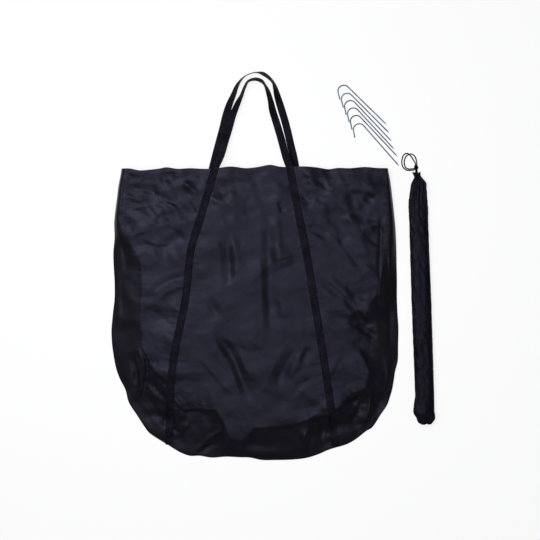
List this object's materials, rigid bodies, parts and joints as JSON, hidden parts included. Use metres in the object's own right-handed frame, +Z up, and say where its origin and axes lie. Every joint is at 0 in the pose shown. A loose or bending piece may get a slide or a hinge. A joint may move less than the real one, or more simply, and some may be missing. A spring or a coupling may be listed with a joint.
{
  "type": "net bag set with pegs and pole pouch",
  "caption": "Flat round-bottomed carry bag with two webbing handles, a fan of bent wire hook pegs and a slim drawstring pouch that holds a folded pole.",
  "frame": {"origin": "on the ground, under the middle of the box round the laid-out set", "axes": "+Z up from the ground, +Y from the bag's round bottom to its mouth and handles, +X across the bag towards the pole pouch"},
  "size_m": [1.0691, 1.2803, 0.0372],
  "materials": {
    "panel_nylon": "satin coated nylon",
    "gusset_nylon": "satin coated nylon",
    "pouch_nylon": "satin coated nylon",
    "seam_tape": "woven binding tape",
    "webbing": "woven polypropylene",
    "zinc_wire": "bright zinc plate",
    "drawcord": "braided polyester",
    "fibreglass": "pultruded, black",
    "ferrule_steel": "plated tube",
    "tip_rubber": "moulded",
    "elastic_cord": "braided cover"
  },
  "bodies": {
    "bag": {"bag_back_panel": "gusset_nylon", "bag_gusset": "gusset_nylon", "back_seam_tape": "seam_tape", "back_web_left": "webbing", "back_web_right": "webbing", "base_web_left": "webbing", "base_web_right": "webbing"},
    "front_panel": {"bag_front_panel": "panel_nylon", "front_seam_tape": "seam_tape", "front_web_left": "webbing", "front_web_right": "webbing"},
    "front_handle": {"front_handle": "webbing"},
    "back_handle": {"back_handle": "webbing"},
    "pouch": {"pouch_sleeve": "pouch_nylon", "drawcord_turn": "drawcord", "drawcord_stem": "drawcord", "drawcord_loop_a": "drawcord", "drawcord_loop_b": "drawcord", "drawcord_knot": "drawcord", "pole_section_1": "fibreglass", "pole_section_2": "fibreglass", "pole_section_3": "fibreglass", "pole_section_4": "fibreglass", "pole_section_5": "fibreglass", "pole_ferrule_1": "ferrule_steel", "pole_ferrule_2": "ferrule_steel", "pole_ferrule_3": "ferrule_steel", "pole_ferrule_4": "ferrule_steel", "pole_tip_first": "tip_rubber", "pole_tip_last": "tip_rubber", "pole_shock_cord": "elastic_cord"},
    "peg_1": {"peg_1": "zinc_wire"},
    "peg_2": {"peg_2": "zinc_wire"},
    "peg_3": {"peg_3": "zinc_wire"},
    "peg_4": {"peg_4": "zinc_wire"},
    "peg_5": {"peg_5": "zinc_wire"},
    "peg_6": {"peg_6": "zinc_wire"}
  },
  "joints": [
    {"name": "mouth_opening", "type": "hinge", "parent": "bag", "child": "front_panel", "pos_m": [-0.061, -0.565, 0.034], "axis": [1, 0, 0], "range_deg": [0, 8], "deforming": ["bag_gusset"]},
    {"name": "front_handle_swing", "type": "hinge", "parent": "front_panel", "child": "front_handle", "pos_m": [-0.0675, 0.32, 0.0371], "axis": [1, 0, 0], "range_deg": [0, 175]},
    {"name": "back_handle_swing", "type": "hinge", "parent": "bag", "child": "back_handle", "pos_m": [-0.063, 0.32, -0.0003], "axis": [1, 0, 0], "range_deg": [-175, 0]},
    {"name": "pouch_lift", "type": "slide", "parent": "bag", "child": "pouch", "axis": [0, 0, 1], "range_m": [0, 0.25]},
    {"name": "peg_1_lift", "type": "slide", "parent": "bag", "child": "peg_1", "axis": [0, 0, 1], "range_m": [0, 0.25]},
    {"name": "peg_2_lift", "type": "slide", "parent": "bag", "child": "peg_2", "axis": [0, 0, 1], "range_m": [0, 0.25]},
    {"name": "peg_3_lift", "type": "slide", "parent": "bag", "child": "peg_3", "axis": [0, 0, 1], "range_m": [0, 0.25]},
    {"name": "peg_4_lift", "type": "slide", "parent": "bag", "child": "peg_4", "axis": [0, 0, 1], "range_m": [0, 0.25]},
    {"name": "peg_5_lift", "type": "slide", "parent": "bag", "child": "peg_5", "axis": [0, 0, 1], "range_m": [0, 0.25]},
    {"name": "peg_6_lift", "type": "slide", "parent": "bag", "child": "peg_6", "axis": [0, 0, 1], "range_m": [0, 0.25]}
  ]
}
